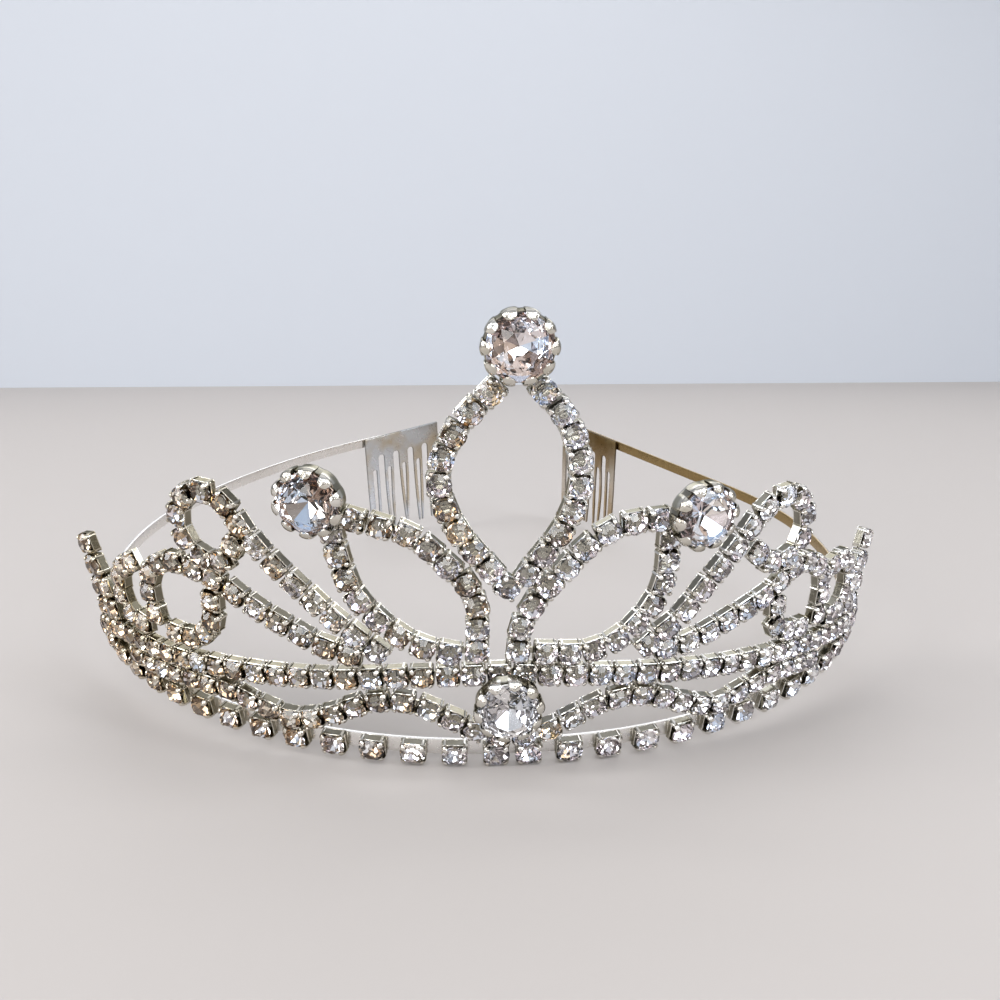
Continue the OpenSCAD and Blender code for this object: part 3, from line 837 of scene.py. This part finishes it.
def comb_place(node):
    """Axes of a comb: x along the strip from the comb's middle, y through its plate, z up from its top."""
    at, bend, rise = COMBS[node]
    sagitta = COMB_W * COMB_W / 8 / bend if bend else 0
    mirror = Matrix.Scale(-1, 4, (1, 0, 0)) if at < 0 else Matrix.Identity(4)
    (x, y), heading = place(abs(at) + COMB_W / 2, bend)
    return (STANDING @ mirror @ shift(x, y, 0) @ Matrix.Rotation(heading, 4, "Z")
            @ shift(-COMB_W / 2, STRIP_T + COMB_OFF + COMB_T + sagitta, STRIP_H) @ turn(-rise, "Y")
            @ shift(COMB_W / 2, 0, 0))


def bend_prongs(bm, seat, close):
    """Cuts the prongs across every millimetre and bends them; close is how far each pair of prongs closes."""
    up = seat.to_3x3() @ Vector((0, 0, 1))
    for depth in range(math.ceil(SLIT_TOP), COMB_LENGTH):
        everything = bm.verts[:] + bm.edges[:] + bm.faces[:]
        cut = seat @ Vector((0, 0, -depth)) * MM
        bmesh.ops.bisect_plane(bm, geom=everything, plane_co=cut, plane_no=up)
    swing = [random.uniform(-PRONG_SWING, PRONG_SWING) for k in range(PRONGS)]
    bow = [random.uniform(-PRONG_BOW, PRONG_BOW) for k in range(PRONGS)]
    inverse = seat.inverted()
    for v in bm.verts:
        spot = inverse @ (v.co / MM)
        depth = (-spot.z - SLIT_TOP) / (COMB_LENGTH - PRONG_REST - SLIT_TOP)
        if depth > 0:
            k = int(clamp((spot.x + COMB_W / 2) / PRONG_PITCH, 0, PRONGS - 1))
            wave = math.sin(math.pi * min(depth, 1))
            towards = 1 if k % 2 == 0 else -1
            spot.x += swing[k] * wave + towards * close[k // 2] * depth * depth
            spot.y += bow[k] * wave
            v.co = seat @ spot * MM


def make_comb(node, name, close, material):
    """The node's own shape with rounded edges and bent prongs; faces turned from the plate's face get painted
    shade.
    """
    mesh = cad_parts[node].data.copy()
    mesh.name = name
    bm = bmesh.new()
    bm.from_mesh(mesh)
    bmesh.ops.remove_doubles(bm, verts=bm.verts, dist=1e-6)
    bmesh.ops.dissolve_limit(bm, angle_limit=math.radians(1), verts=bm.verts, edges=bm.edges)
    edges = [e for e in bm.edges if e.is_manifold and e.calc_face_angle(0) > math.radians(COMB_SHARP)]
    bmesh.ops.bevel(bm, geom=edges, offset=COMB_EDGE * MM, segments=3, profile=0.5, affect="EDGES",
                    clamp_overlap=True)
    seat = comb_place(node)
    bend_prongs(bm, seat, close)
    bmesh.ops.recalc_face_normals(bm, faces=bm.faces)
    bm.to_mesh(mesh)
    bm.free()
    # Painted shade: each face is darker the further it turns from the plate's face
    across = seat.to_3x3() @ Vector((0, 1, 0))
    colours = []
    for face in mesh.polygons:
        shade = EDGE_PAINTED_SHADE + (1 - EDGE_PAINTED_SHADE) * face.normal.dot(across) ** 2
        colours += [shade, shade, shade, 1] * face.loop_total
    mesh.color_attributes.new("Tint", "FLOAT_COLOR", "CORNER").data.foreach_set("color", colours)
    smooth(mesh, COMB_SHARP)
    mesh.materials.clear()
    mesh.materials.append(material)
    add_piece(name, mesh, [node])


def comb_metal(name, node, top, teeth, stain, stain_from, stain_to):
    """Comb plate: the colours of its upper part and its teeth, and stains where the noise is low."""
    material, nodes, links, bsdf = new_material(name)
    low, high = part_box(node)
    coordinates = nodes.new("ShaderNodeTexCoord")
    split = nodes.new("ShaderNodeSeparateXYZ")
    links.new(coordinates.outputs["Object"], split.inputs["Vector"])
    height = nodes.new("ShaderNodeMapRange")
    height.inputs["From Min"].default_value = low.z + TEETH_TO * (high.z - low.z)
    height.inputs["From Max"].default_value = low.z + PLATE_FROM * (high.z - low.z)
    links.new(split.outputs["Z"], height.inputs["Value"])
    body = ramp(nodes, links, height.outputs["Result"], [(0.0, teeth), (1.0, top)])
    patches = noise(nodes, links, scale=70, detail=6, coordinates=coordinates)
    stains = ramp(nodes, links, patches, [(stain_from, stain), (stain_to, (1, 1, 1))])
    plate = multiply(nodes, links, body, stains)
    links.new(multiply(nodes, links, plate, mesh_tint(nodes)), bsdf.inputs["Base Color"])
    worn(nodes, links, bsdf, coordinates, scale=900, low=0.24, high=0.4, distance=0.00005)
    return material


left_metal = comb_metal("comb_left_metal", "left_comb", top=(0.54, 0.55, 0.56), teeth=(0.76, 0.80, 0.86),
                        stain=(0.88, 0.75, 0.57), stain_from=0.46, stain_to=0.58)
right_metal = comb_metal("comb_right_metal", "right_comb", top=(0.22, 0.165, 0.085), teeth=(0.68, 0.62, 0.54),
                         stain=(0.72, 0.60, 0.42), stain_from=0.42, stain_to=0.58)
make_comb("left_comb", "comb_left", (0.2, 0.4, 0.85, 0.5, 0.1), left_metal)
make_comb("right_comb", "comb_right", (0.3, 0.1, 0.5, 0.2, 0.35), right_metal)

# Big stones: place along the front, height, how far it stands forward, turn of its facets and of its claws,
# share of its warm facets, and tints of the others
BIG_STONES = {
    "top": (-0.4, 61, 0, 0, 0, 0.35, BIG_COLD_TINTS),
    "left": (-25.5, 41, 2.2, 30, 14, 0.6, BIG_COLD_TINTS),
    "right": (23.9, 37.8, 2.2, -12, 5, 0.1, BIG_COLD_TINTS),
    "bottom": (-1, 10.8, 2.6, 20, 9, 0, BIG_CLEAR_TINTS),
}
for name, (s, h, forward, spin, claw_spin, warmth, cold_tints) in BIG_STONES.items():
    seat = on_wall(s, h) @ shift(0, -forward, 0) @ FACING
    metal = Piece(name + "_claw_setting")
    metal.add(*setting_metal(claw_spin), seat)
    metal.make([chain_plate], "chain_metal", [name + "_setting"], CHAIN_SHARP)
    stone = Piece(name + "_cut_stone")
    stone.add_stone(big_stone(), seat @ turn(spin, "Z"), warmth, cold_tints, BIG_WARM_TINTS)
    stone.make(stone_materials, "rhinestone", [name + "_stone"])

# Camera, in metres as all of the stage: it looks a little down and to the right
CAMERA_DOWN, CAMERA_RIGHT = 10.73, 4.76
camera = add_object("camera", bpy.data.cameras.new("camera"))
camera.data.sensor_width = camera.data.lens = 36
camera.data.clip_start = 0.01
camera.location = (-0.0131, -0.2136, 0.06512)
camera.rotation_euler = (math.radians(90 - CAMERA_DOWN), 0, math.radians(-CAMERA_RIGHT))
bpy.context.scene.camera = camera

# Floor and backdrop: the floor lies just under the tiara and ends at the backdrop
FLOOR_Z, FLOOR_FRONT, FLOOR_BACK = -0.00005, -2.5, 0.68
SHEET_HALF = 3.0


def stage_sheet(name, near, far, colour, roughness):
    """A wide sheet between two (y, z) edges."""
    mesh = bpy.data.meshes.new(name)
    corners = [(x, y, z) for y, z in (near, far) for x in (-SHEET_HALF, SHEET_HALF)]
    mesh.from_pydata(corners, [], [(0, 1, 3, 2)])
    material, nodes, links, bsdf = new_material(name)
    bsdf.inputs["Base Color"].default_value = (*colour, 1)
    bsdf.inputs["Roughness"].default_value = roughness
    mesh.materials.append(material)
    add_object(name, mesh)


stage_sheet("floor", (FLOOR_FRONT, FLOOR_Z), (FLOOR_BACK, FLOOR_Z), (0.52, 0.48, 0.45), 0.65)
stage_sheet("backdrop", (FLOOR_BACK, -0.4), (FLOOR_BACK, 2.5), (0.62, 0.65, 0.70), 0.9)

# Light: most lamps aim at the tiara's lower middle
AIM = (0, 0, 0.03)


def area_light(name, spot, aim, size, power, colour=(1, 1, 1)):
    light = add_object(name, bpy.data.lights.new(name, "AREA"))
    light.visible_camera = False
    light.data.shape = "RECTANGLE"
    light.data.size, light.data.size_y = size
    light.data.energy = power
    light.data.color = colour
    light.location = spot
    light.rotation_euler = (Vector(aim) - Vector(spot)).to_track_quat("-Z", "Y").to_euler()


area_light("window_left", (-0.85, -0.15, 0.42), AIM, (0.5, 0.35), 3.6, (0.97, 0.98, 1.0))
area_light("window_right", (0.72, -0.7, 0.6), AIM, (0.45, 0.4), 3.2, (0.80, 0.88, 1.0))
area_light("front_high", (0.1, -0.95, 0.7), AIM, (0.4, 0.2), 1.3, (0.90, 0.94, 1.0))
area_light("front_low", (-0.45, -0.85, 0.22), AIM, (0.12, 0.3), 0.7)
area_light("soft_top", (0.0, 0.1, 0.9), (0, 0, 0), (0.9, 0.6), 0.8)
area_light("soft_back", (0.1, 0.55, 0.6), (0, 0.1, 0.2), (1.2, 0.3), 2.0)
# Small panels in front, which the cut stones throw back as flashes: distance, size and power of one, number
# in a row, and angle from one to the next
PANEL_FAR, PANEL_SIZE, PANEL_POWER, PANELS, PANEL_STEP = 1.1, 0.13, 0.3, 8, 20
# For each row, its angle above the floor and the angle of its first panel from straight ahead
PANEL_ROWS = [(12, -74), (26, -64), (42, -74)]
for row, (rise, first) in enumerate(PANEL_ROWS):
    for k in range(PANELS):
        side, up = math.radians(first + k * PANEL_STEP), math.radians(rise)
        spot = (PANEL_FAR * math.sin(side) * math.cos(up), -PANEL_FAR * math.cos(side) * math.cos(up),
                PANEL_FAR * math.sin(up))
        area_light(f"panel_{row}_{k}", spot, AIM, (PANEL_SIZE, PANEL_SIZE), PANEL_POWER)

# The world is dim and brownish from below and near the horizon, and pale blue higher up
world = bpy.data.worlds.new("studio")
bpy.context.scene.world = world
world.use_nodes = True
world_nodes, world_links = world.node_tree.nodes, world.node_tree.links
sky = world_nodes["Background"]
direction = world_nodes.new("ShaderNodeTexCoord")
parts = world_nodes.new("ShaderNodeSeparateXYZ")
world_links.new(direction.outputs["Generated"], parts.inputs["Vector"])
sky_colour = ramp(world_nodes, world_links, parts.outputs["Z"],
                  [(0.0, (0.34, 0.31, 0.29)), (0.3, (0.20, 0.19, 0.19)), (0.55, (0.75, 0.78, 0.84)),
                   (0.9, (0.6, 0.62, 0.66))])
world_links.new(sky_colour, sky.inputs["Color"])
sky.inputs["Strength"].default_value = 0.9
bpy.context.scene.view_settings.view_transform = "Standard"
# The light in a foiled stone is mirrored many times
bpy.context.scene.cycles.glossy_bounces = 12
